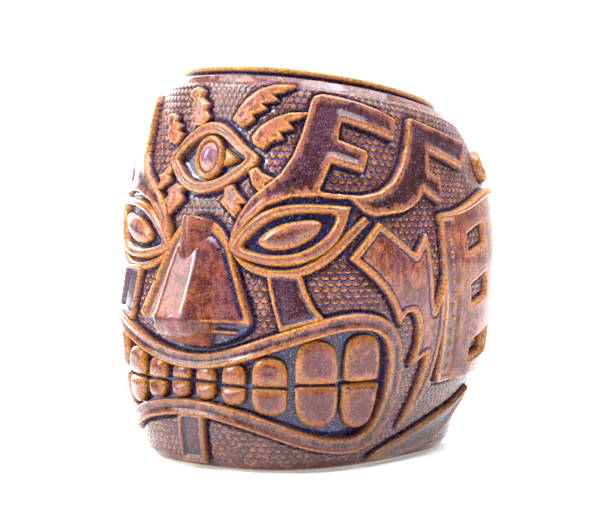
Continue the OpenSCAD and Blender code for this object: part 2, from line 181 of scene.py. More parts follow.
def distance(u, v, poly):
    """Signed distance in mm to a closed outline, negative inside."""
    best = np.full(u.shape, 1e9)
    inside = np.zeros(u.shape, bool)
    for (ax, ay), (bx, by) in zip(poly, np.roll(poly, -1, axis=0)):
        ex, ey = bx - ax, by - ay
        ll = ex * ex + ey * ey
        if ll < 1e-12:
            continue
        wx, wy = u - ax, v - ay
        t = np.clip((wx * ex + wy * ey) / ll, 0, 1)
        best = np.minimum(best, (wx - ex * t) ** 2 + (wy - ey * t) ** 2)
        if abs(ey) > 1e-12:
            cross = ((ay <= v) & (v < by)) | ((by <= v) & (v < ay))
            inside ^= cross & (u < ax + wy * ex / ey)
    return np.where(inside, -1.0, 1.0) * np.sqrt(best)


class Shape:
    """A relief outline: solid polygons less holes, in azimuth and level."""

    def __init__(self, solids, holes=()):
        self.solids = [np.asarray(s) for s in solids]
        self.holes = [np.asarray(h) for h in holes]
        every = np.concatenate(self.solids)
        self.lo, self.hi = every.min(0), every.max(0)
        self.k = per_degree(*(self.lo + self.hi) / 2)

    def sd(self, a, e):
        u, v = a * self.k, e
        s = [self.k, 1]
        d = np.minimum.reduce([distance(u, v, p * s) for p in self.solids])
        for h in self.holes:
            d = np.maximum(d, -distance(u, v, h * s))
        return d


# ---- the mask's outlines, on the +X side; the other side is their mirror image

BROW = P(
    (12.4, 66.9), (13.4, 71), (15.8, 75.2), (19.8, 79.3), (24.8, 82.4), (29.6, 85.2), (33.2, 89.4),
    (35.8, 94.6), (37.8, 100), (39, 104), (40.2, 105.4), (42.4, 106.2), (48, 106), (56, 105.2),
    (63, 104), (69.4, 102.2), (68.4, 99.2), (67.4, 96.4), (61.6, 97.7), (55, 98.8), (49.2, 99.7),
    (48.2, 97.2), (47.6, 94.4), (52, 93.4), (56.6, 92.2), (57, 91), (56, 89), (55, 86.9),
    (50, 87.8), (45, 88.6), (43.2, 85.2), (41.4, 82), (42.2, 81.2), (48, 80.8), (54, 80.8),
    (59.8, 82), (64.8, 84.9), (68.8, 89.2), (72, 94.4), (74.2, 99), (75.6, 103.2), (77.4, 103.6),
    (84, 103), (92, 102.3), (100, 101.5), (108.4, 100.8), (110.2, 100.2), (107, 96), (103, 91.4),
    (97, 92.9), (90, 94.1), (83.6, 95.2), (83, 92), (82.7, 88.8), (85.4, 88.1), (88.2, 87.2),
    (87.7, 83.4), (86.8, 79.8), (82.4, 81.5), (78.2, 83.2), (76.4, 81), (72.6, 78.6), (68, 77),
    (62, 76.3), (57.6, 75.8), (54.6, 76.9), (50.8, 79.9), (41, 80.4), (33, 79.9), (25, 77.7),
    (18.6, 73.4), (14.8, 69.4),
)
SOCKET = ribbon(
    P((13.4, 65.4), (19, 62), (27, 60.1), (35.5, 60.7), (43.5, 64.8), (49.8, 70.2), (55.6, 75)),
    [0.3, 1, 1.2, 1.3, 1.3, 1.3, 1.1],
)
LID_OUT = smooth(P(
    (12.2, 66.2), (14.6, 69.6), (18.2, 72.8), (23.6, 76), (31.4, 77.9), (41, 78.4), (49.4, 78.1),
    (50.6, 78), (50.2, 76.8), (48.8, 73.2), (46.6, 69.4), (42.4, 65.8), (36, 63.2), (28.4, 62.4),
    (19.4, 63.6),
), 3)
LID_IN = smooth(P(
    (17, 67.3), (19.6, 70.2), (25.6, 73.9), (32.6, 75.9), (40.6, 76.4), (46.2, 75.9),
    (44.8, 72.2), (41, 68.8), (35.6, 66.2), (28.8, 65.2), (21.8, 65.8),
), 3)
EYEBALL = smooth(P(
    (22.6, 68.6), (25, 71), (29.6, 73), (34.6, 74), (39.2, 74.4), (41.8, 73.6), (40.4, 71),
    (36, 68.4), (30.6, 66.9), (25.6, 67),
), 3)
STRAP = P(
    (25.8, 60.4), (27, 54), (28.6, 48), (30, 43), (35.5, 44.8), (42.8, 46.6), (39.8, 50.2),
    (37.6, 54.8), (36, 60),
)
MOUTH = P(
    (0, 32.8), (9, 33.6), (18.5, 36), (28.5, 39.6), (38.5, 43.1), (46.5, 45.5), (53.5, 46.1),
    (59.5, 44.7), (63.8, 41), (66, 35), (66.5, 27), (65.4, 19), (62.4, 13), (57, 9.2), (50.5, 8),
    (42.5, 8.8), (34.5, 11), (26.5, 14), (18.5, 16.4), (9, 18.2), (0, 18.8),
)
LOOP = smooth(np.concatenate([MOUTH, flip(MOUTH[-2:0:-1])]), 4)
LIP_OUT, LIP_IN = rails(LOOP, 2.35, closed=True)
# azimuth, bottom, parting, top and half width of each tooth
TEETH = [
    (4.9, 21.6, 26.8, 31.5, 3.3), (15.2, 20.7, 26.2, 32.6, 3.7), (26.6, 18.2, 26.3, 35, 5.1),
    (40.4, 14.7, 27.2, 40.2, 6.1), (54.6, 13.6, 27.7, 41.8, 5.7),
]
FLAME = P(
    (50, 64.6), (54, 68.7), (59, 74.2), (64, 70.9), (69, 67.7), (72.8, 65), (75.2, 67.9),
    (77.7, 71), (79.2, 66.4), (80.2, 60.8), (80.9, 56), (81.5, 51.4), (82.6, 47.9), (84.8, 52.2),
    (87, 58), (87.9, 52.6), (88.1, 46), (88, 40), (87.6, 33), (86.8, 27.6), (85.2, 23), (83, 19),
    (79.4, 14.6), (75.2, 11.2), (77.4, 15.4), (79.3, 20.7), (80.6, 26.4), (81.4, 30.4),
    (81.4, 34.8), (77.6, 33.2), (73.6, 31.6), (74.6, 34.6), (75.7, 38.4), (75.6, 42.4),
    (74.4, 46), (72.4, 48.2), (69.2, 48), (66.6, 44.6), (65.2, 48), (63.2, 51.6), (60.6, 55.2),
    (57.4, 58.5), (53.8, 61.6),
)
JAW = P(
    (61, 2.4), (63.5, 3.7), (67, 4.9), (73, 6.5), (81.7, 8.4), (91.5, 10.8), (101.3, 13.5),
    (112, 16.6), (118, 19), (122, 21), (123.6, 20.2), (121.4, 15.8), (117, 11.4), (111, 7.6),
    (102, 4.8), (91, 3), (76, 2.3),
)
CHIN = P((-5, 17.2), (5, 17.2), (5, 2.6), (-5, 2.6))
EYE3_OUT = smooth(P(
    (-17.8, 88.4), (-14.4, 91.6), (-9.6, 95), (-3.6, 97.2), (3, 97.4), (9.6, 95.2), (15.4, 91.8),
    (21.6, 88.4), (14.4, 84.2), (7.4, 81.4), (1, 80.2), (-5, 80.2), (-11, 82), (-15.4, 85.2),
), 3)
EYE3_IN = smooth(P(
    (-14.4, 88.4), (-11.6, 90.6), (-7.8, 92.8), (-3, 94.4), (2.4, 94.6), (7.4, 93), (12, 90.6),
    (16.8, 88.4), (11.8, 85.8), (6.4, 83.8), (1, 82.8), (-4, 82.8), (-8.6, 84), (-12, 86.2),
), 3)
EYE3 = (-0.2, 88.9)
TEAR = P((6.9, 91), (9.6, 90), (13.2, 88.5), (9.8, 87.4), (7.1, 86.9), (7.8, 89))
LASHES_UP = [
    P((-24.6, 99.6), (-21.8, 99.9), (-19.6, 98.8), (-20, 97.6), (-16.8, 96.7), (-17.8, 95.2),
      (-15, 94.4), (-16.4, 92.5), (-18.6, 91.8), (-22.2, 93.2), (-23.6, 94.8), (-22.8, 96.4),
      (-25, 97.6)),
    P((-12.8, 106.3), (-9.9, 106.9), (-6.6, 105.8), (-7.4, 104), (-3.6, 102.2), (-4.8, 100.6),
      (-2.4, 98.8), (-5, 96.8), (-8.6, 96.7), (-10.6, 98.8), (-10, 100.6), (-12, 101.9),
      (-10.8, 103.3), (-14, 104.5)),
    P((9.1, 98.2), (11.3, 100.9), (15, 104), (19.8, 106.4), (25.6, 107.7), (33.4, 107.9),
      (29, 106.3), (24.4, 105.2), (27, 103.9), (20.6, 102.6), (23, 101.4), (17.2, 99.8),
      (18.2, 98.5), (13.6, 96.4)),
    P((18, 93.8), (21, 96.6), (25.9, 98.9), (31.7, 100.5), (38.6, 100.9), (34.2, 99.2),
      (31, 98.3), (33, 96.5), (28.1, 95.6), (29.7, 93.9), (25, 93), (22.8, 91.1), (19.2, 92)),
]
LASHES_LOW = [
    P((-18.2, 86.4), (-16.5, 85.7), (-18, 84.3), (-16.7, 83), (-19.8, 81.8), (-21.8, 80.3),
      (-23.2, 81.2), (-21.4, 82.6), (-22.6, 84), (-20, 84.8)),
    P((-13.1, 82.3), (-9.6, 81.6), (-11, 80), (-9.2, 78.6), (-12.1, 76.8), (-15.4, 74.5),
      (-16.4, 76.6), (-18.9, 77.6), (-16.4, 79.2), (-17.2, 80.7)),
    P((8.8, 81.6), (12.3, 82.4), (13.5, 80.9), (17.9, 78.1), (14.8, 77.9), (16, 76.6),
      (13.8, 74.5), (10.7, 76.4), (7.6, 78.2), (9.4, 79.5)),
    P((18, 85.6), (20.9, 86.6), (22.6, 85.3), (27, 84.1), (24.3, 82.8), (25.4, 80.8),
      (22.5, 80.8), (20, 82.5), (19, 84.3)),
]
EDGE_A = np.array([86.2, 87, 88.2, 89.5, 90, 91.4, 92.5])
EDGE_E = np.array([76.4, 68, 58, 49, 41, 32.6, 24.8])


def edge_at(e):
    return np.interp(e, EDGE_E[::-1], EDGE_A[::-1])


def mirror_path(half, mid_level):
    half = np.asarray(half, float)
    return np.concatenate([half, [[180, mid_level]], [[360 - a, e] for a, e in half[::-1]]])


LIP_LINE = [(85.8, 76.2), (90, 76.5), (94.5, 77), (99, 77.8), (107, 80.2), (118, 84),
            (128, 85), (140, 85.2), (153, 85.2), (167, 85.2)]
BASE_LINE = [(92.8, 24.9), (98, 25.2), (105, 25.9), (114, 26.8), (126, 27), (140, 27), (153, 27),
             (167, 27)]
# each window: bottom and top level at its front edge, and azimuth of that edge
WINDOWS = [(64.8, 70.6, 101.6), (48.6, 54.4, 104), (31.4, 37, 106)]


def window(bottom, top, a):
    return smooth(P(
        (a + 0.4, top), (a + 5, top + 1.6), (a + 10.6, top + 3.2), (a + 11.4, top + 2.8),
        (a + 11.6, bottom + 2.6), (a + 10.8, bottom + 2), (a + 5.8, bottom + 0.8),
        (a + 1.6, bottom - 0.2), (a + 0.7, bottom + 0.4), (a, top - 0.6),
    ), 3)


def level_line(a, table):
    t = np.array(table)
    return np.interp(np.where(a > 180, 360 - a, a), t[:, 0], t[:, 1])


PANEL_A = np.arange(90, 271, 3.0)
PANEL_TOP = np.column_stack([PANEL_A, level_line(PANEL_A, LIP_LINE)])
BASE_A = np.arange(94, 267, 3.0)
PANEL_LOW = np.column_stack([BASE_A, level_line(BASE_A, BASE_LINE) - 0.6])[::-1]
SIDE_EDGE = np.column_stack([EDGE_A, EDGE_E])[::-1] - [0.7, 0]
PANEL = np.concatenate([SIDE_EDGE, PANEL_TOP, (flip(SIDE_EDGE) + [360, 0])[::-1], PANEL_LOW])
SCROLL = np.array([
    (125 + (1.5 + 5.3 * t) * 1.15 * math.sin(math.radians(450 * t)),
     93 + (1.5 + 5.3 * t) * math.cos(math.radians(450 * t)))
    for t in np.linspace(0, 1, 26)
])


# ---------------------------------------------------------------- relief sections
# Each takes the signed distance and returns height, amber edge and dark pool; the dark at the foot
# of each wall is pooled glaze and painted shade.

def peak(x, width):
    """1 where x is 0, falling away on both sides."""
    return np.exp(-(x / width) ** 2)


def falloff(sd, top, low=-0.8, run=0.45):
    t = step(sd, 0, run)
    return top * (1 - t) + low * t


def plate(h, bead=0.15, dish=0.45):
    """Flat carved surface, hollowed a little between its softened edges."""
    def f(sd, a, e):
        s = np.minimum(sd, 0)
        top = h * (1 - 0.2 * np.exp(s / 0.35)) + bead * peak(s + 0.7, 0.4)
        top = top - dish * step(-s, 0.9, 3.2)
        height = np.where(sd > 0, falloff(sd, h * 0.8), top)
        edge = peak(s + 0.28, 0.42) * (1 - step(sd, 0.02, 0.3))
        return height, edge, step(sd, 0.06, 0.34)
    return f


def framed(h, rim, sink, groove):
    """Raised border with an incised line inside it and a lower flat middle."""
    def f(sd, a, e):
        height, edge, pool_and_shade = plate(h, dish=0)(sd, a, e)
        inner = step(-sd, rim - 0.25, rim + 0.35)
        cut = peak(sd + rim + 0.1, 0.36)
        height = height - sink * inner - groove * cut
        edge = np.maximum(edge, 0.8 * peak(sd + rim - 0.55, 0.4))
        edge = np.maximum(edge, 0.3 * step(-sd, 0, 0.2) * (1 - inner))
        return height, edge * (1 - cut), np.maximum(pool_and_shade, 0.95 * cut)
    return f


def cushion(h, soft):
    """Rounded pad, amber at its rim."""
    def f(sd, a, e):
        s = np.minimum(sd, 0)
        top = h * (0.42 + 0.58 * (1 - np.exp(s / soft)))
        height = np.where(sd > 0, falloff(sd, h * 0.42), top)
        edge = (0.24 + 0.7 * np.exp(s / 0.9)) * (1 - step(sd, 0.05, 0.35))
        return height, edge, step(sd, 0.08, 0.4)
    return f


def cord(h, half):
    """Rounded band whose crown is at half its width."""
    def f(sd, a, e):
        s = np.clip(-sd / half, 0, 1)
        top = h * (0.45 + 0.55 * np.sqrt(1 - (1 - s) ** 2))
        height = np.where(sd > 0, falloff(sd, h * 0.45), top)
        rim = peak(np.minimum(sd, 0) + 0.3, 0.45)
        edge = (0.3 + 0.6 * rim) * (1 - step(sd, 0.02, 0.3))
        return height, edge, step(sd, 0.08, 0.4)
    return f


def lip_band(h, half, line_at=0.55, dark=0.12):
    """Band with a raised line along each side."""
    def f(sd, a, e):
        height, edge, pool_and_shade = plate(h, 0.0, 0)(sd, a, e)
        line = peak(sd + line_at, 0.34)
        height = height + 0.4 * line - 0.35 * step(-sd, line_at + 0.2, half)
        edge = np.maximum(edge * 0.85, line)
        return height, edge, np.maximum(pool_and_shade, dark * step(-sd, half * 0.6, half))
    return f


# ---------------------------------------------------------------- mesh building

def build(name, verts, faces, data):
    """Mesh object from mm points, quads and per-point glaze values."""
    mesh = bpy.data.meshes.new(name)
    quads = np.concatenate([np.asarray(f, np.int64).reshape(-1, 4) for f in faces])
    loops = quads.ravel()
    mesh.vertices.add(len(verts))
    mesh.vertices.foreach_set("co", (np.asarray(verts) * 0.001).ravel())
    mesh.loops.add(len(loops))
    mesh.loops.foreach_set("vertex_index", loops.astype(np.int32))
    mesh.polygons.add(len(quads))
    mesh.polygons.foreach_set("loop_start", np.arange(0, len(loops), 4, dtype=np.int32))
    mesh.update(calc_edges=True)
    mesh.validate()
    mesh.polygons.foreach_set("use_smooth", np.ones(len(mesh.polygons), bool))
    for key, values in data.items():
        layer = mesh.attributes.new(key, "FLOAT", "POINT")
        layer.data.foreach_set("value", np.asarray(values, np.float32).ravel())
    obj = bpy.data.objects.new(name, mesh)
    bpy.context.collection.objects.link(obj)
    return obj


def mirrored(obj, name):
    """The same piece on the other side of the face."""
    twin = obj.copy()
    twin.data = obj.data.copy()
    twin.name = twin.data.name = name
    twin.data.transform(Matrix.Scale(-1, 4, (1, 0, 0)))
    twin.data.flip_normals()
    bpy.context.collection.objects.link(twin)
    return twin


def relief(name, shape, section, spacing=0.42, margin=0.5, deep=1.3, extra=None):
    """Closed piece: the carved top of one relief, its walls and its bed in the wall."""
    if not FINE:
        spacing *= 1.6
    k = shape.k
    pad = margin + 2 * spacing
    a = np.arange(shape.lo[0] - pad / k, shape.hi[0] + pad / k, spacing / k)
    e = np.arange(max(1.0, shape.lo[1] - pad), shape.hi[1] + pad, spacing)
    A, E = np.meshgrid(a, e, indexing="ij")
    sd = shape.sd(A, E)
    # grid points near the outline move onto it, so that edges run clean
    ga, ge = np.gradient(sd, spacing)
    gl = np.maximum(np.hypot(ga, ge), 0.5)
    near = np.abs(sd) < 0.5 * spacing
    A = np.where(near, A - sd * ga / gl**2 / k, A)
    E = np.where(near, E - sd * ge / gl**2, E)
    sd = np.where(near, 0.0, sd)
    h, edge, pool_and_shade = section(sd, A, E)
    if extra is not None:
        h, edge, pool_and_shade = extra(sd, A, E, h, edge, pool_and_shade)
    keep = sd <= margin
    cell = keep[:-1, :-1] & keep[1:, :-1] & keep[1:, 1:] & keep[:-1, 1:]
    # cells that touch only at a corner are joined
    for _ in range(3):
        x = cell[:-1, :-1] & cell[1:, 1:] & ~cell[1:, :-1] & ~cell[:-1, 1:]
        y = cell[1:, :-1] & cell[:-1, 1:] & ~cell[:-1, :-1] & ~cell[1:, 1:]
        cell[1:, :-1] |= x
        cell[:-1, :-1] |= y
    idx = np.arange(A.size).reshape(A.shape)
    q = np.stack([idx[:-1, :-1], idx[1:, :-1], idx[1:, 1:], idx[:-1, 1:]], -1)
    top = q[cell]
    used = np.unique(top)
    new = np.full(A.size, -1)
    new[used] = np.arange(len(used))
    nv = len(used)
    top = new[top]
    bottom = top[:, [0, 3, 2, 1]] + nv
    pad_cell = np.pad(cell, 1)
    sides = []
    for gap, (i, j) in (
        (~pad_cell[1:-1, :-2], (0, 1)), (~pad_cell[2:, 1:-1], (1, 2)),
        (~pad_cell[1:-1, 2:], (2, 3)), (~pad_cell[:-2, 1:-1], (3, 0)),
    ):
        m = q[cell & gap]
        t1, t2 = new[m[:, i]], new[m[:, j]]
        sides.append(np.stack([t2, t1, t1 + nv, t2 + nv], -1))
    af, ef = A.ravel()[used], E.ravel()[used]
    pts = np.concatenate([proud(af, ef, h.ravel()[used]), proud(af, ef, np.full(nv, -deep))])

    def both(x):
        return np.concatenate([x.ravel()[used], np.zeros(nv)])

    return build(name, pts, [top, bottom] + sides, {
        "edge": both(edge), "pool_and_shade": both(pool_and_shade), "tone": both(step(-sd, 0.7, 3.4)),
    })


# ---------------------------------------------------------------- glaze

def rgb(r, g, b):
    """sRGB 0-255 to linear."""
    def linear(c):
        return c / 12.92 if c <= 0.04045 else ((c + 0.055) / 1.055) ** 2.4
    return (linear(r / 255), linear(g / 255), linear(b / 255), 1)


class Nodes:
    """A material's node tree, with object coordinates in millimetres."""

    def __init__(self, name):
        self.mat = bpy.data.materials.new(name)
        self.mat.use_nodes = True
        self.tree = self.mat.node_tree
        self.bsdf = self.tree.nodes["Principled BSDF"]
        coord = self.add("ShaderNodeTexCoord").outputs["Object"]
        self.mm = self.add("ShaderNodeVectorMath", {0: coord, "Scale": 1000},
                           operation="SCALE").outputs[0]

    def add(self, kind, inputs=(), **props):
        n = self.tree.nodes.new(kind)
        for k, v in props.items():
            setattr(n, k, v)
        self.fill(n, dict(inputs))
        return n

    def fill(self, node, inputs):
        for key, value in inputs.items():
            self.put(value, node.inputs[key])

    def link(self, a, b):
        self.tree.links.new(a, b)

    def put(self, value, socket):
        if isinstance(value, (int, float, tuple)):
            socket.default_value = value
        else:
            self.link(value, socket)

    def attr(self, name):
        return self.add("ShaderNodeAttribute", attribute_name=name).outputs["Fac"]

    def math(self, op, a, b=0.0, c=0.0):
        n = self.add("ShaderNodeMath", operation=op)
        for v, s in zip((a, b, c), n.inputs):
            self.put(v, s)
        return n.outputs[0]

    def times(self, a, b):
        return self.math("MULTIPLY", a, b)

    def muladd(self, a, b, c):
        return self.math("MULTIPLY_ADD", a, b, c)

    def noise(self, scale, detail, rough, stretch=None, shift=0.0, warp=0.0):
        vec = self.mm
        if stretch or shift:
            vec = self.add("ShaderNodeMapping", {
                "Vector": vec, "Scale": stretch or (1, 1, 1),
                "Location": (shift, shift * 0.7, shift * 1.3),
            }).outputs[0]
        return self.add("ShaderNodeTexNoise", {
            "Vector": vec, "Scale": scale, "Detail": detail, "Roughness": rough,
            "Distortion": warp,
        }).outputs["Fac"]

    def ramp(self, value, lo, hi, out_lo=0.0, out_hi=1.0):
        return self.add("ShaderNodeMapRange", {
            "Value": value, "From Min": lo, "From Max": hi, "To Min": out_lo, "To Max": out_hi,
        }, interpolation_type="SMOOTHSTEP").outputs["Result"]

    def spots(self, spacing, size, share, shift=0.0):
        """Round spots: one in some cells of a grid `spacing` mm wide."""
        m = self.add("ShaderNodeMapping", {"Vector": self.mm, "Location": (shift, shift, shift)})
        v = self.add("ShaderNodeTexVoronoi", {"Vector": m.outputs[0], "Scale": 1 / spacing},
                     feature="F1")
        split = self.add("ShaderNodeSeparateColor", {0: v.outputs["Color"]})
        chosen = self.math("LESS_THAN", split.outputs[0], share)
        grow = self.ramp(split.outputs[1], 0, 1, 0.5, 1.3)
        edge = self.math("DIVIDE", v.outputs["Distance"], grow)
        dot = self.ramp(edge, size / spacing * 0.6, size / spacing, 1, 0)
        return self.times(dot, chosen)

    def mix(self, fac, a, b):
        """Colour mix; a Mix node's colour sockets are inputs 6 and 7 and output 2."""
        return self.add("ShaderNodeMix", {0: fac, 6: a, 7: b}, data_type="RGBA").outputs[2]

    def bump(self, height, strength, distance):
        return self.add("ShaderNodeBump", {
            "Height": height, "Strength": strength, "Distance": distance,
        }).outputs[0]


TAN = rgb(158, 96, 66)
UMBER = rgb(54, 22, 16)
VIOLET = rgb(100, 62, 84)
PLUM = rgb(48, 24, 42)
AMBER = rgb(158, 92, 8)
HONEY = rgb(206, 150, 62)
TOFFEE = rgb(84, 42, 10)
NAVY = rgb(14, 22, 70)
SKY = rgb(176, 176, 214)
IRON = rgb(26, 12, 14)


def scale_pattern(g):
    """Rows of overlapping scales, tips down: height, lit tip, and painted shade under each tip."""
    uv = g.add("ShaderNodeUVMap", uv_map="scales").outputs[0]
    split = g.add("ShaderNodeSeparateXYZ", {0: uv})
    u, v = split.outputs[0], split.outputs[1]
    row = g.math("FLOOR", v)
    parts = []
    for up in (1, 2):
        r = g.math("ADD", row, float(up))
        d = g.math("SUBTRACT", r, v)
        shifted = g.muladd(g.math("MODULO", r, 2.0), 0.5, u)
        x = g.muladd(g.math("FRACT", shifted), 2.0, -1.0)
        xx = g.times(x, x)
        bow = g.math("SQRT", g.math("MAXIMUM", g.muladd(xx, -0.98, 1.0), 0.0))
        reach = g.muladd(bow, REACH_BOW, REACH_BASE)
        inside = g.math("SUBTRACT", reach, d)
        rise = g.math("DIVIDE", d, reach)
        height = g.times(g.muladd(rise, 0.8, 0.1), g.ramp(inside, 0.0, 0.2))
        broad = g.muladd(xx, -0.75, 1.0)
        tip = g.times(g.ramp(inside, 0.58, 0.2), g.times(broad, g.ramp(inside, 0.0, 0.1)))
        parts.append((height, tip, inside))
    (low_h, low_tip, _), (high_h, high_tip, inside) = parts
    on = g.ramp(inside, 0.0, 0.08)
    off = g.math("SUBTRACT", 1.0, on)
    height = g.muladd(on, high_h, g.times(low_h, off))
    tip = g.muladd(on, high_tip, g.times(low_tip, off))
    # painted shade: the gap just under the tips of the row above is darkened
    gap = g.times(g.ramp(inside, -0.5, -0.06), off)
    return height, tip, gap


def glaze(name, light=TAN, dark=UMBER, gold=1.0, toned=1.0, seed=0.0, specks=1.0, pale=1.0,
          scaled=False):
    """Running glaze: gold where it breaks over edges, brown on flats, navy in pools and painted
    shade.
    """
    g = Nodes(name)
    edge, pool_and_shade, tone = g.attr("edge"), g.attr("pool_and_shade"), g.attr("tone")
    big = g.noise(0.07, 4, 0.6, shift=seed + 3, warp=0.7)
    patch = g.noise(0.2, 4, 0.62, shift=seed + 14, warp=0.9)
    runs = g.noise(0.75, 4, 0.66, stretch=(1, 1, 0.22), shift=seed + 9, warp=0.5)
    fine = g.noise(1.3, 4, 0.7, shift=seed + 21)
    grit = g.noise(2.6, 3, 0.75, shift=seed + 33)
    # flats: tan near the edges, umber in the hollows, drifting in patches and runs
    depth = g.muladd(tone, 1.15 * toned, g.muladd(patch, 2.4, -1.2))
    depth = g.muladd(runs, 1.7, g.math("SUBTRACT", depth, 0.85))
    body = g.mix(g.ramp(depth, -0.1, 0.75), light, dark)
    veil = g.times(g.ramp(big, 0.44, 0.64), 0.5)
    body = g.mix(g.times(g.ramp(fine, 0.3, 0.62), veil), body, VIOLET)
    body = g.mix(g.times(g.ramp(fine, 0.47, 0.37), 0.6), body, PLUM)
    if scaled:
        amount = g.attr("scaled")
        relief_h, tip, gap = scale_pattern(g)
        tip = g.times(g.times(tip, amount), g.ramp(patch, 0.25, 0.6, 1.0, 0.72))
        # the painted shade under the scale tips goes into the dark of the pools
        gap = g.times(g.times(gap, amount), 0.8)
        edge = g.math("MAXIMUM", edge, tip)
        pool_and_shade = g.math("MAXIMUM", pool_and_shade, gap)
    # gold along the edges, wavering, with toffee ticks across it
    golden = g.mix(g.ramp(fine, 0.42, 0.62), AMBER, HONEY)
    golden = g.mix(g.times(g.ramp(runs, 0.56, 0.66), 0.75), golden, TOFFEE)
    golden = g.mix(g.times(g.ramp(big, 0.42, 0.62), 0.35), golden, light)
    waver = g.math("ADD", edge, g.muladd(fine, 0.7, -0.38))
    breaking = g.times(g.ramp(waver, 0.34, 0.85), gold)
    color = g.mix(breaking, body, golden)
    # dark navy where the glaze pools and as painted shade, with pale blue grains in it
    deep = g.math("ADD", pool_and_shade, g.muladd(runs, 0.5, -0.25))
    deep = g.ramp(deep, 0.2, 0.75)
    pool_shade_colour = g.mix(g.ramp(patch, 0.44, 0.6), NAVY, PLUM)
    pool_shade_colour = g.mix(g.times(g.ramp(fine, 0.5, 0.62), 0.3), pool_shade_colour, rgb(84, 84, 140))
    pool_shade_colour = g.mix(g.times(g.ramp(grit, 0.6, 0.68), 0.6), pool_shade_colour, SKY)
    color = g.mix(deep, color, pool_shade_colour)
    # gold and pale grains where it lies thick
    color = g.mix(g.times(g.spots(1.25, 0.3, 0.4, seed + 11), g.times(deep, 0.8)),
                  color, rgb(186, 140, 84))
    thick = g.math("MAXIMUM", g.times(tone, 0.8), deep)
    color = g.mix(g.times(g.spots(0.8, 0.22, 0.5, seed + 8), g.times(thick, 0.5 * pale)),
                  color, SKY)
    # painted shade: the colour darkens towards the foot, where the top light falls off
    split = g.add("ShaderNodeSeparateXYZ", {0: g.mm})
    low = g.ramp(g.muladd(big, 30.0, split.outputs[2]), 70.0, 25.0)
    color = g.mix(g.times(low, 0.15 if scaled else 0.42), color, UMBER)
    # pale grains and dark pepper through the whole glaze
    calm = g.muladd(breaking, -0.6, 1.0)
    color = g.mix(g.times(g.ramp(grit, 0.6, 0.68), g.times(calm, 0.5)), color, SKY)
    color = g.mix(g.times(g.ramp(grit, 0.4, 0.28), g.times(calm, 0.8)), color, IRON)
    color = g.mix(g.times(g.spots(1.7, 0.34, 0.36, seed), 0.85 * specks), color, IRON)
    color = g.mix(g.times(g.spots(5.0, 0.6, 0.34, seed + 5), 0.9 * specks), color, IRON)
    # orange-peel of the glaze, grains, and the scales where there are any
    height = g.muladd(g.noise(0.8, 2, 0.5, shift=seed), 0.14, g.times(grit, 0.02))
    if scaled:
        height = g.muladd(relief_h, g.times(amount, 0.7), height)
    g.fill(g.bsdf, {
        "Base Color": color, "Roughness": g.ramp(fine, 0.3, 0.7, 0.22, 0.36),
        "Specular IOR Level": 0.1, "Coat Weight": 0.7, "Coat Roughness": 0.06, "Coat IOR": 1.45,
        "Normal": g.bump(height, 0.9, 0.001),
    })
    return g.mat


def clay(name):
    g = Nodes(name)
    grain = g.noise(2.4, 5, 0.7)
    color = g.mix(g.ramp(grain, 0.35, 0.7), rgb(214, 198, 168), rgb(240, 230, 208))
    stain = g.noise(0.3, 4, 0.6, shift=7)
    color = g.mix(g.times(g.ramp(stain, 0.55, 0.75), 0.5), color, rgb(170, 130, 90))
    color = g.mix(g.spots(3.0, 0.22, 0.3), color, rgb(90, 60, 44))
    g.fill(g.bsdf, {
        "Base Color": color, "Roughness": g.ramp(grain, 0.3, 0.7, 0.65, 0.85),
        "Normal": g.bump(grain, 0.6, 0.00012),
    })
    return g.mat


GLAZE_BAND = glaze("glaze_band", pale=0.7)
GLAZE_FLAME = glaze("glaze_flame", light=rgb(170, 104, 68), dark=rgb(98, 46, 28), toned=0.35,
                    seed=18, pale=0.5)
GLAZE_NOSE = glaze("glaze_nose", light=rgb(140, 78, 52), dark=rgb(80, 34, 22), toned=0.3, seed=12,
                   specks=1.3, pale=0.1)
GLAZE_EDGE = glaze("glaze_edge", light=rgb(152, 94, 56), dark=rgb(92, 42, 20), gold=0.85,
                   toned=0.8, seed=5)
GLAZE_TOOTH = glaze("glaze_tooth", light=rgb(178, 108, 54), dark=rgb(108, 50, 28), toned=0.7,
                    seed=8, specks=0.9, pale=0.5)
GLAZE_GROUND = glaze("glaze_ground", light=rgb(170, 108, 82), dark=rgb(92, 48, 34), seed=2,
                     specks=0.6, scaled=True)
GLAZE_PUPIL = glaze("glaze_pupil", light=rgb(186, 134, 120), dark=rgb(124, 90, 108), seed=3)
GLAZE_RIM = glaze("glaze_rim", light=rgb(190, 130, 92), dark=rgb(130, 76, 56), seed=15)
CLAY = clay("bare_clay")


def piece(obj, nodes, mat):
    obj.data.materials.clear()
    obj.data.materials.append(mat)
    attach(obj, "root")
    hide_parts(*nodes)
    return obj


# ---------------------------------------------------------------- the reliefs

SHAPES = {}


def both_sides(name, shape, section, mat, slot, **kw):
    obj = relief(name + "_r_glazed", shape, section, **kw)
    twin = mirrored(obj, name + "_l_glazed")
    piece(obj, [name + "_r"], mat)
    piece(twin, [name + "_l"], mat)
    SHAPES[name] = (shape, True)


def middle(name, shape, section, mat, slot, **kw):
    obj = relief(name + "_glazed", shape, section, **kw)
    piece(obj, [name], mat)
    SHAPES[name] = (shape, False)


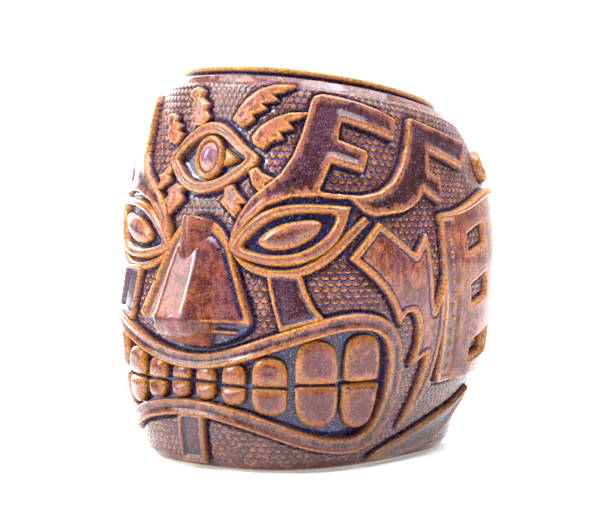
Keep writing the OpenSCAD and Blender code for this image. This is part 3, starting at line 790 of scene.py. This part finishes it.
both_sides("brow_fret", Shape([BROW]), plate(2.3), GLAZE_BAND, "band_glaze")
both_sides("eye_socket", Shape([SOCKET]), cord(1.7, 1.2), GLAZE_BAND, "edge_glaze", spacing=0.34)
both_sides("eyelid", Shape([LID_OUT], [LID_IN]), cord(2.4, 1.7), GLAZE_EDGE, "edge_glaze",
           spacing=0.34)
both_sides("eyeball", Shape([EYEBALL]), cushion(2.7, 1.6), GLAZE_EDGE, "edge_glaze", spacing=0.34,
           deep=2.6)
both_sides("cheek_strap", Shape([STRAP]), framed(2.1, 1.5, 1.0, 0.3), GLAZE_BAND, "band_glaze",
           spacing=0.36)
both_sides("flame", Shape([FLAME]), framed(2.1, 1.9, 0.3, 0.6), GLAZE_FLAME, "band_glaze")
both_sides("jaw_band", Shape([JAW]), plate(1.7, 0.4), GLAZE_BAND, "band_glaze")
middle("lips", Shape([LIP_OUT], [LIP_IN]), lip_band(2.5, 2.35), GLAZE_BAND, "band_glaze",
       deep=2.2)
middle("chin_strap", Shape([CHIN]), framed(2.0, 1.7, 0.9, 0.2), GLAZE_BAND, "band_glaze",
       spacing=0.36)
middle("third_eye_lid", Shape([EYE3_OUT], [EYE3_IN]), lip_band(2.2, 1.35, 0.4, 0.0),
       GLAZE_BAND, "edge_glaze", spacing=0.34)
middle("lashes_upper", Shape(LASHES_UP), plate(2.3, 0.0, 0.15), GLAZE_FLAME, "band_glaze",
       spacing=0.27)
middle("lashes_lower", Shape(LASHES_LOW), plate(2.2, 0.0, 0.15), GLAZE_FLAME, "band_glaze",
       spacing=0.27)


def round_outline(a, e, r):
    k = per_degree(a, e)
    t = np.linspace(0, 2 * math.pi, 28, endpoint=False)
    return np.column_stack([a + r * np.sin(t) / k, e + r * np.cos(t)])


middle("third_eye_iris", Shape([round_outline(*EYE3, 5.5), TEAR], [round_outline(*EYE3, 3.85)]),
       cord(1.9, 0.8), GLAZE_EDGE, "edge_glaze", spacing=0.28, deep=2)


PUPIL_R, PUPIL_H = 3.7, 3.1


def dome(sd, a, e):
    r = np.clip(1 + sd / PUPIL_R, 0, 1)
    h = PUPIL_H * np.sqrt(1 - 0.92 * r * r)
    h = np.where(sd > 0, falloff(sd, PUPIL_H * math.sqrt(0.08), -1.4), h)
    return h, 0.5 * step(sd, -0.9, -0.2) * (1 - step(sd, 0, 0.3)), step(sd, 0.0, 0.3)


middle("third_eye_pupil", Shape([round_outline(*EYE3, PUPIL_R)]), dome, GLAZE_PUPIL, "band_glaze",
       spacing=0.26, margin=0.4, deep=2)


def half_tooth(a, flat_end, round_end, w):
    d = round_end - flat_end
    k = per_degree(a, (flat_end + round_end) / 2)
    right = [(0.86, 0), (1, 0.14), (1, 0.5), (0.84, 0.82), (0.5, 0.97)]
    pts = right + [(0, 1.02)] + [(-x, y) for x, y in right[::-1]]
    return smooth(np.array([(a + x * w / k, flat_end + y * d) for x, y in pts]), 3)


def tooth_top(sd, a, e, h, edge, pool_and_shade):
    """Big teeth are hollowed a little where dark glaze settles in the middle."""
    dip = step(-sd, 1.8, 6)
    gold = 0.62 * np.exp(np.minimum(sd, 0) / 2.4) * (1 - step(sd, 0.05, 0.35))
    return h - 0.5 * dip, np.maximum(edge, gold) * (1 - 0.4 * dip), np.maximum(pool_and_shade, 0.36 * dip)


for row, sign in (("teeth_upper", 1), ("teeth_lower", -1)):
    outlines = []
    for side in (1, -1):
        for a, low, part, high, w in TEETH:
            outlines.append(half_tooth(side * a, part + sign * 0.62, high if sign > 0 else low, w))
    middle(row, Shape(outlines), cushion(2.5, 1.5), GLAZE_TOOTH, "tooth_glaze", spacing=0.38,
           deep=2.2, extra=tooth_top)


# ---- nose

NOSE_E = np.array([37.4, 38.2, 39.6, 41.2, 43.4, 46, 49, 54, 60, 66, 69, 71, 72.6, 73.6, 74.1])
NOSE_W = np.array([4.5, 8, 12.4, 16.2, 19, 20, 19, 17, 14.8, 12.4, 10.7, 8.8, 6.6, 4.2, 1.6])
NOSE_H = np.array([1.5, 5, 9.4, 12, 13.5, 13.8, 12.9, 11, 8.9, 6.9, 5.7, 4.8, 3.7, 2.7, 2])
NOSE_R = np.array([3, 4, 4.8, 5.2, 5.3, 5.2, 5, 4.9, 4.8, 4.2, 3.2, 2, 0.9, 0.4, 0.2])
BULB_E = np.array([37.4, 38.2, 39.4, 41, 43, 45, 47, 50])
BULB_H = np.array([3, 7, 10, 12.4, 13.7, 14.1, 13.4, 8])
BULB_W = np.array([2.5, 4.8, 6.6, 8, 9, 9.2, 8.4, 6])
NOSE = smooth(np.column_stack([NOSE_E, NOSE_W, NOSE_H, NOSE_R]), 5, closed=False)
BULB = smooth(np.column_stack([BULB_E, BULB_H, BULB_W]), 5, closed=False)


NOSE_K = per_degree(0, 55)


def nose_outline():
    e = np.linspace(NOSE_E[0], NOSE_E[-1], 60)
    w = np.interp(e, NOSE[:, 0], NOSE[:, 1])
    right = np.column_stack([w / NOSE_K, e])
    return np.concatenate([right, flip(right)[::-1]])


def nose_section(sd, a, e):
    x = np.abs(a * NOSE_K)
    w, rise, r = (np.interp(e, NOSE[:, 0], NOSE[:, i]) for i in (1, 2, 3))
    foot_h = np.interp(e, [44, 50, 60, 70], [2.8, 2.3, 1.5, 1.1])
    # flat ridge, sloping sides, and a raised border behind a groove
    t = np.clip((x - r) / np.maximum(w * 0.88 - r, 0.5), 0, 1)
    h = rise + (foot_h - rise) * t
    soft = peak(x - r, 0.7)
    h = h - 0.16 * soft
    wide = 1.0 + 0.7 * step(e, 66, 73)
    border = peak(np.minimum(sd + wide, 0), 0.55) * step(e, 44.6, 46.4)
    groove = peak(sd + wide + 1.4, 0.6) * step(e, 45.5, 47.5)
    h = h + 1.0 * border - 0.5 * groove
    # underside: the sides end at a crease, with one ridge below it
    under = (1 - step(e, 44.3, 45.2)) * step(x, r + 0.6, r + 4)
    ridge = peak(e - 42.2, 0.6) * step(-x, -17, -15)
    slope = 1 + (foot_h - 1) * 0.8 * step(e, 38.5, 44.8)
    h = h * (1 - under) + under * (slope + 1.1 * ridge)
    hb, wb = (np.interp(e, BULB[:, 0], BULB[:, i]) for i in (1, 2))
    bulb = hb * np.sqrt(np.clip(1 - (x / wb) ** 2, 0, 1))
    on_bulb = step(bulb - h, -0.4, 0.8)
    h = np.maximum(h, bulb)
    h = np.maximum(h, 0.6)
    h = np.where(sd > 0, falloff(sd, np.minimum(h, 3), -0.8, 0.5), h)
    crease = peak(e - 45.6, 0.45) * (1 - on_bulb) * step(x, r + 1.5, r + 4)
    edge = np.maximum(0.9 * border * step(-sd, 0, 0.3), 0.2 * soft * step(x, 1.5, 3))
    edge = np.maximum(edge, peak(sd + 0.3, 0.4))
    edge = np.maximum(edge, 0.9 * crease)
    edge = np.maximum(edge * (1 - under), under * ridge)
    edge = edge * (1 - 0.9 * on_bulb) * (1 - step(sd, 0.02, 0.3))
    pool_and_shade = np.maximum(0.9 * groove, 0.75 * under * (1 - ridge)) * (1 - on_bulb)
    return h, edge, np.maximum(pool_and_shade, step(sd, 0.08, 0.4))


middle("nose", Shape([smooth(nose_outline(), 1)]), nose_section, GLAZE_NOSE, "band_glaze",
       spacing=0.4, margin=0.55)


# ---- back panel

def panel_section(sd, a, e):
    height, edge, pool_and_shade = plate(1.5, 0.1, 0.0)(sd, a, e)
    ends = np.where(a > 180, 360 - a, a)
    from_edge = ends - edge_at(e)
    # a margin for the stitches, sunk between the front ridge and the field
    margin = step(from_edge, 1.3, 2.2) * (1 - step(from_edge, 7.4, 8.4)) * step(e, 25.8, 27.2)
    margin = margin * (1 - step(e, 74.6, 75.6))
    thick = np.interp(e, [28, 34, 38, 46, 56], [1.7, 1.9, 1.5, 0.6, 0.0]) * step(ends, 98, 110)
    front = step(from_edge, 1.2, -0.4)
    height = height + 0.3 * front - 0.6 * margin * (sd < 0) + thick * step(-sd, 0, 0.5)
    gold = 0.7 * front * step(-sd, 0.0, 0.2) * (1 - step(-sd, 0.9, 1.3))
    edge = np.maximum(edge * (1 - margin), gold)
    pool_and_shade = np.maximum(pool_and_shade, 0.42 * margin)
    # zigzags cut across the plain middle
    mid = 1 - step(np.abs(a - 180), 56, 58)
    wave = np.abs(((a - 180) / 12) % 2 - 1)
    for level in (75.5, 38.5):
        d = np.abs(e - level + 5 * (wave - 0.5)) * 0.78
        cut = peak(d, 0.5) * mid
        height = height - 0.7 * cut
        pool_and_shade = np.maximum(pool_and_shade, cut)
        edge = np.maximum(edge, 0.8 * peak(d - 1.1, 0.4) * mid)
    return height, edge, pool_and_shade


holes = [window(*w) for w in WINDOWS]
holes += [flip(h) + [360, 0] for h in holes]
middle("back_panel", Shape([PANEL], holes), panel_section, GLAZE_FLAME, "band_glaze",
       spacing=0.46)
taper = [0.5, 0.7, 0.8, 1.0, 1.2, 1.5]
lip = ribbon(mirror_path(LIP_LINE, 85.2), taper + [1.7] * 9 + taper[::-1], 2)
middle("panel_lip", Shape([lip]), cord(2.9, 1.5), GLAZE_EDGE, "edge_glaze")

STITCH = P((0.1, 1.3), (0.6, 0.9), (0.65, -0.8), (-0.1, -1.3), (-0.6, -0.9), (-0.65, 0.8))


def stitches():
    """A column of stitches, each a little behind the panel's front edge."""
    out = []
    for i in range(11):
        e = 68 - 3.9 * i
        out.append(smooth(STITCH * [1 / per_degree(95, e), 1] + [edge_at(e) + 5.4, e], 2))
    return out


both_sides("panel_stitches", Shape(stitches()), cushion(2.0, 0.5), GLAZE_EDGE, "edge_glaze",
           spacing=0.28)
both_sides("back_scroll", Shape([ribbon(SCROLL, np.linspace(0.6, 1.2, 26), 2)]), cord(2.8, 1.1),
           GLAZE_EDGE, "edge_glaze", spacing=0.36)


# ---------------------------------------------------------------- vessel

def scales(a, e):
    """Height of overlapping fish scales, tips down."""
    row = np.floor(e / SCALE_E)
    above = e / SCALE_E - row
    height = np.zeros_like(e)
    covered = np.zeros(e.shape, bool)
    for up in (2, 1):
        r = row + up
        d = (up - above) * SCALE_E
        x = ((a / SCALE_A + 0.5 * (r % 2)) % 1 - 0.5) * 2
        reach = SCALE_E * (REACH_BASE + REACH_BOW * np.sqrt(np.maximum(0, 1 - x * x * 0.98)))
        on = (d < reach) & ~covered
        t = np.clip(d / reach, 0, 1)
        h = 0.10 + 0.62 * t * (1 - 0.45 * x * x)
        height = np.where(on, h * step(reach - d, 0, 0.32), height)
        covered |= on
    return height


def ground_section(a, e):
    """Height, gold, pooling with painted shade, and share of scales of the ground between the
    reliefs.
    """
    bolder = 1 + 0.35 * step(e, 96, 102)
    texture = step(e, 2.2, 3.6) * (1 - step(e, 107.6, 108.8))
    h = 0.7 * scales(a, e) * texture * bolder
    edge = 0.08 * texture
    pool_and_shade = 0.05 * texture
    near = np.full(a.shape, 9.0)
    aa = np.where(a > 180, a - 360, a)
    for shape, twin in SHAPES.values():
        for sign in ((1, -1) if twin else (1,)):
            q = a if shape.hi[0] > 180 else sign * aa
            m = ((q > shape.lo[0] - 5) & (q < shape.hi[0] + 5)
                 & (e > shape.lo[1] - 4) & (e < shape.hi[1] + 4))
            if m.any():
                near[m] = np.minimum(near[m], shape.sd(q[m], e[m]))
    # glaze pools navy in the corner under each relief, and painted shade darkens that corner too
    pool_and_shade = np.maximum(pool_and_shade, 0.98 * (1 - step(near, 0.5, 1.9)))
    texture = texture * step(near, 0.5, 1.5)
    h = h * step(near, 0.4, 1.5) - 0.35 * (1 - step(near, 0.3, 1.6))
    return h, edge, pool_and_shade, texture


def hollow(layers, sd, depth, dark, soft=0.8):
    """Sink part of the ground inside an outline."""
    h, edge, pool_and_shade, texture = layers
    t = 1 - step(sd, -soft, 0)
    return h * (1 - t) - depth * t, edge * (1 - t), pool_and_shade * (1 - t) + dark * t, texture * (1 - t)


def cup():
    per = 4 if FINE else 2  # points to a scale, round the body and up it
    n = COLUMNS * per
    outer = np.concatenate([
        [0.35, 0.6, 1.1, 1.9, 2.6, 3.2], np.arange(2 * per, 60 * per) * SCALE_E / per,
        [108.3, 108.8, 109.3, 109.8, 110.3, 110.7, LEDGE],
    ])
    a = np.arange(n) * 360 / n
    A, E = np.meshgrid(a, outer)
    layers = ground_section(A, E)
    aa = np.where(A > 180, A - 360, A)
    mouth = Shape([LOOP])
    m = (np.abs(aa) < 72) & (E < 50)
    sd = np.full(A.shape, 9.0)
    sd[m] = mouth.sd(aa[m], E[m])
    layers = hollow(layers, sd, 1.0, 0.95, 1.2)
    # inside the eyelids the ground sinks and darkens: pooled navy glaze, and painted shade round
    # the eyeball
    for lid, depth, dark in ((LID_IN, 1.5, 0.95), (LID_OUT, 0.4, 0.8)):
        s = Shape([lid])
        sd = np.minimum(s.sd(aa, E), s.sd(-aa, E))
        layers = hollow(layers, sd, depth, dark)
    sd = Shape([EYE3_IN]).sd(aa, E)
    h, edge, pool_and_shade, texture = hollow(layers, sd, 0.8, 0.7)
    # plain shoulder ledge
    ledge = step(E, 107.6, 108.6)
    edge = edge * (1 - ledge) + 0.12 * ledge
    pool_and_shade = pool_and_shade * (1 - ledge) + 0.1 * ledge
    under = 1 - step(E, 0.35, 0.9)
    h = h - 0.3 * under
    rows, vals, levels = [], [], []

    def add(r, level, g, p):
        rows.append(place(a, level, r)[None])
        vals.append(np.full((1, n, 4), (g, p, 0.4, 0)))
        levels.append(np.full((1, n), float(level)))

    # under the foot, up the outside, over the ledge, down the inside and across the floor
    start = outline(a, FOOT_AT)
    for frac in (0.004, 0.1, 0.4, 0.7, 0.85):
        add(start * frac, RECESS, 0.1, 0.3)
    add(start - 1.9, RECESS, 0.1, 0.3)
    add(start - 1.7, 0.45, 0.1, 0.3)
    rows.append(proud(A, E, h))
    vals.append(np.stack([edge, pool_and_shade, np.full(h.shape, 0.5), texture], -1))
    levels.append(E)
    start = outline(a, LEDGE)
    run = outline(a, RIM) - 4 - start
    for level, frac in ((LEDGE + 0.1, 0.25), (LEDGE + 0.1, 0.6), (LEDGE, 0.95), (LEDGE, 1.0)):
        add(start + run * frac, level, 0.1, 0.3)
    for level in (108, 105, 101, 96, 90, 83, 75, 66, 57, 48, 39, 30, 22, 15, 11, 9.4):
        add(outline(a, level) - WALL - THICKER * step(-level, -14, -9), level, 0.05, 0.3)
    floor_r = outline(a, FLOOR) - WALL - THICKER
    for frac in (0.94, 0.8, 0.6, 0.4, 0.2, 0.06, 0.004):
        add(floor_r * frac, FLOOR, 0.05, 0.45)
    pts, val, lvl = (np.concatenate(x) for x in (rows, vals, levels))
    idx = np.arange(len(pts) * n).reshape(-1, n)
    nxt = np.roll(idx, -1, axis=1)
    quads = np.stack([idx[:-1], nxt[:-1], nxt[1:], idx[1:]], -1).reshape(-1, 4)
    pts = pts.reshape(-1, 3)
    val = val.reshape(-1, 4)
    # close the two small middle rings with fans of quads
    caps = []
    for ring, turn in ((idx[0], True), (idx[-1], False)):
        k = n // 2
        for i in range(k - 1):
            q = [ring[i], ring[i + 1], ring[n - 2 - i], ring[n - 1 - i]]
            caps.append(q[::-1] if turn else q)
    obj = build("cup_wall_glazed", pts, [quads, np.array(caps)], {
        "edge": val[:, 0], "pool_and_shade": val[:, 1], "tone": val[:, 2], "scaled": val[:, 3],
    })
    # scale coordinates for the glaze: columns round the body and rows up it
    u = a / SCALE_A
    mesh = obj.data
    corner = np.empty(len(mesh.loops), np.int32)
    mesh.loops.foreach_get("vertex_index", corner)
    uv = np.stack([u[corner % n], lvl.ravel()[corner] / SCALE_E], -1)
    face_u = uv[:, 0].reshape(-1, 4)
    wraps = (face_u.max(1) - face_u.min(1)) > COLUMNS / 2
    face_u[wraps] = np.where(face_u[wraps] < 1, COLUMNS, face_u[wraps])
    mesh.uv_layers.new(name="scales").data.foreach_set("uv", uv.astype(np.float32).ravel())
    return piece(obj, ["cup_wall"], GLAZE_GROUND)


cup()


def ring_quads(n, m):
    """Quads of a closed section of m points swept round in n steps."""
    idx = np.arange(n * m).reshape(n, m)
    right = np.roll(idx, -1, axis=0)
    return np.stack([idx, right, np.roll(right, -1, axis=1), np.roll(idx, -1, axis=1)], -1)


# inward of the rim's outline, and level
RIM_SECTION = [
    (4, 110.4), (0.6, 110.4), (0.75, 111.0), (1.0, 111.4), (1.05, 111.9), (0.8, 112.2),
    (0.4, 112.5), (0.05, 112.8), (-0.12, 113.1), (-0.12, 113.5), (0.05, 113.8), (0.4, 114.05),
    (1.0, 114.2), (1.8, 114.25), (2.6, 114.15), (3.3, 113.9), (3.8, 113.4), (4.05, 112.8),
    (4.1, 112.0), (4.05, 111.2),
]
# gold and pooling at each of those points
RIM_VALUES = [
    (0, 0.6), (0.1, 0.5), (0.1, 0.62), (0, 0.85), (0, 0.9), (0.1, 0.75), (0.3, 0.5),
    (0.75, 0.1), (0.95, 0), (1, 0), (1, 0), (1, 0), (0.9, 0),
    (0.8, 0), (0.85, 0), (0.9, 0), (0.8, 0), (0.4, 0.1), (0.1, 0.2), (0.05, 0.3),
]


def rim_lip():
    n = 420
    a = np.arange(n) * 360 / n
    rim_r = outline(a, RIM)
    # the crest wavers a little
    rng = np.random.default_rng(4)
    wave = sum(rng.normal() * np.sin(k * np.radians(a) + rng.uniform(0, 6.3)) / k
               for k in range(3, 26))
    rows = [place(a, level + 0.03 * wave * (level > 112.6), rim_r - inward)
            for inward, level in RIM_SECTION]
    edge, pool_and_shade = np.tile(RIM_VALUES, (n, 1)).T
    return build("rim_lip_glazed", np.stack(rows, 1).reshape(-1, 3),
                 [ring_quads(n, len(rows))], {"edge": edge, "pool_and_shade": pool_and_shade})


piece(rim_lip(), ["rim_lip"], GLAZE_RIM)


def foot():
    n = 360
    a = np.arange(n) * 360 / n
    r = outline(a, FOOT_AT)
    ring = [(1.75, 0.14), (1.6, 0.4), (1.6, 1.4), (1.6, 3.0), (7.7, 3.0), (7.7, 1.4), (7.6, 0.5),
            (7.3, 0.1), (6.9, 0), (5.5, 0), (3.5, 0), (2.4, 0), (1.95, 0.05)]
    rows = [place(a, level, r - inward) for inward, level in ring]
    return build("foot_ring_clay", np.stack(rows, 1).reshape(-1, 3), [ring_quads(n, len(ring))],
                 {"edge": np.zeros(n * len(ring))})


piece(foot(), ["foot_ring"], CLAY)


# ---------------------------------------------------------------- setting

# the camera's azimuth, elevation and roll, its target's level, and its distance and offsets in mm
AZ, PITCH, ROLL = math.radians(38.3), math.radians(4.18), math.radians(0.06)
TARGET, AWAY, ACROSS, ABOVE = 57.5, 706, -2.77, 2.24
LENS = 131.4
AIM = Vector((0, 0, 0.06))  # what the lights point at, in metres
COOL = (0.9, 0.92, 1)


def outward(az, el):
    """Unit vector at an azimuth and elevation, in radians."""
    return Vector((math.sin(az) * math.cos(el), -math.cos(az) * math.cos(el), math.sin(el)))


bpy.ops.mesh.primitive_plane_add(size=1.8, location=(0, 0, -0.0002))
floor = bpy.context.object
floor.name = "floor"
paper = Nodes("floor_pale")
shade = paper.times(paper.noise(0.02, 3, 0.5), 0.06)
paper.fill(paper.bsdf, {
    "Base Color": paper.mix(shade, (0.9, 0.9, 0.9, 1), (0.81, 0.81, 0.81, 1)),
    "Roughness": 0.55, "Emission Color": (1, 1, 1, 1), "Emission Strength": 0.26,
})
floor.data.materials.append(paper.mat)

scene = bpy.context.scene
world = bpy.data.worlds.new("studio")
scene.world = world
world.use_nodes = True
sky = world.node_tree
# a white sweep behind the mug, and a dimmer room on the side it is seen from
ray = sky.nodes.new("ShaderNodeTexCoord")
toward = sky.nodes.new("ShaderNodeVectorMath")
toward.operation = "DOT_PRODUCT"
toward.inputs[1].default_value = (-math.sin(AZ), math.cos(AZ), 0.25)
sky.links.new(ray.outputs["Generated"], toward.inputs[0])
level = sky.nodes.new("ShaderNodeMapRange")
level.interpolation_type = "SMOOTHSTEP"
for key, value in (("From Min", 0.35), ("From Max", 0.95), ("To Min", 0.1), ("To Max", 1.5)):
    level.inputs[key].default_value = value
sky.links.new(toward.outputs["Value"], level.inputs["Value"])
sky.links.new(level.outputs["Result"], sky.nodes["Background"].inputs["Strength"])
sky.nodes["Background"].inputs["Color"].default_value = (1, 1, 1, 1)
scene.view_settings.view_transform = "Standard"
scene.view_settings.look = "None"

# the camera's view of the mug, turned to the viewer's right of the face
back = outward(AZ, PITCH)
right = Vector((math.cos(AZ), math.sin(AZ), 0))
up = back.cross(right)
spot = Vector((0, BACK, TARGET)) + back * AWAY + right * ACROSS + up * ABOVE
right_c = right * math.cos(ROLL) + up * math.sin(ROLL)
up_c = up * math.cos(ROLL) - right * math.sin(ROLL)
cam = bpy.data.cameras.new("camera")
cam.sensor_width = 36
cam.lens = LENS
cam.clip_start = 0.01
camera = bpy.data.objects.new("camera", cam)
bpy.context.collection.objects.link(camera)
camera.matrix_world = Matrix((
    (right_c.x, up_c.x, back.x, spot.x / 1000),
    (right_c.y, up_c.y, back.y, spot.y / 1000),
    (right_c.z, up_c.z, back.z, spot.z / 1000),
    (0, 0, 0, 1),
))
scene.camera = camera


def softbox(name, azimuth, height, away, size, power, tint=(1, 1, 1)):
    """Area light at an azimuth and elevation round the mug, in degrees and metres."""
    light = bpy.data.lights.new(name, "AREA")
    light.shape = "RECTANGLE"
    light.size, light.size_y = size
    light.energy = power
    light.color = tint
    obj = bpy.data.objects.new(name, light)
    obj.location = outward(math.radians(azimuth), math.radians(height)) * away
    obj.rotation_euler = (AIM - obj.location).to_track_quat("-Z", "Y").to_euler()
    bpy.context.collection.objects.link(obj)


softbox("key", -38, 32, 1.1, (0.5, 0.8), 10)
softbox("window", -37, 37, 1.1, (0.14, 0.3), 4)
softbox("fill", 88, 66, 1.1, (0.6, 0.6), 10, COOL)
softbox("rear_right", 150, 62, 1.1, (0.6, 0.6), 7, COOL)
softbox("rear_left", -112, 30, 1.0, (0.6, 0.8), 13)
softbox("top", 10, 82, 1.0, (0.8, 0.8), 15, COOL)
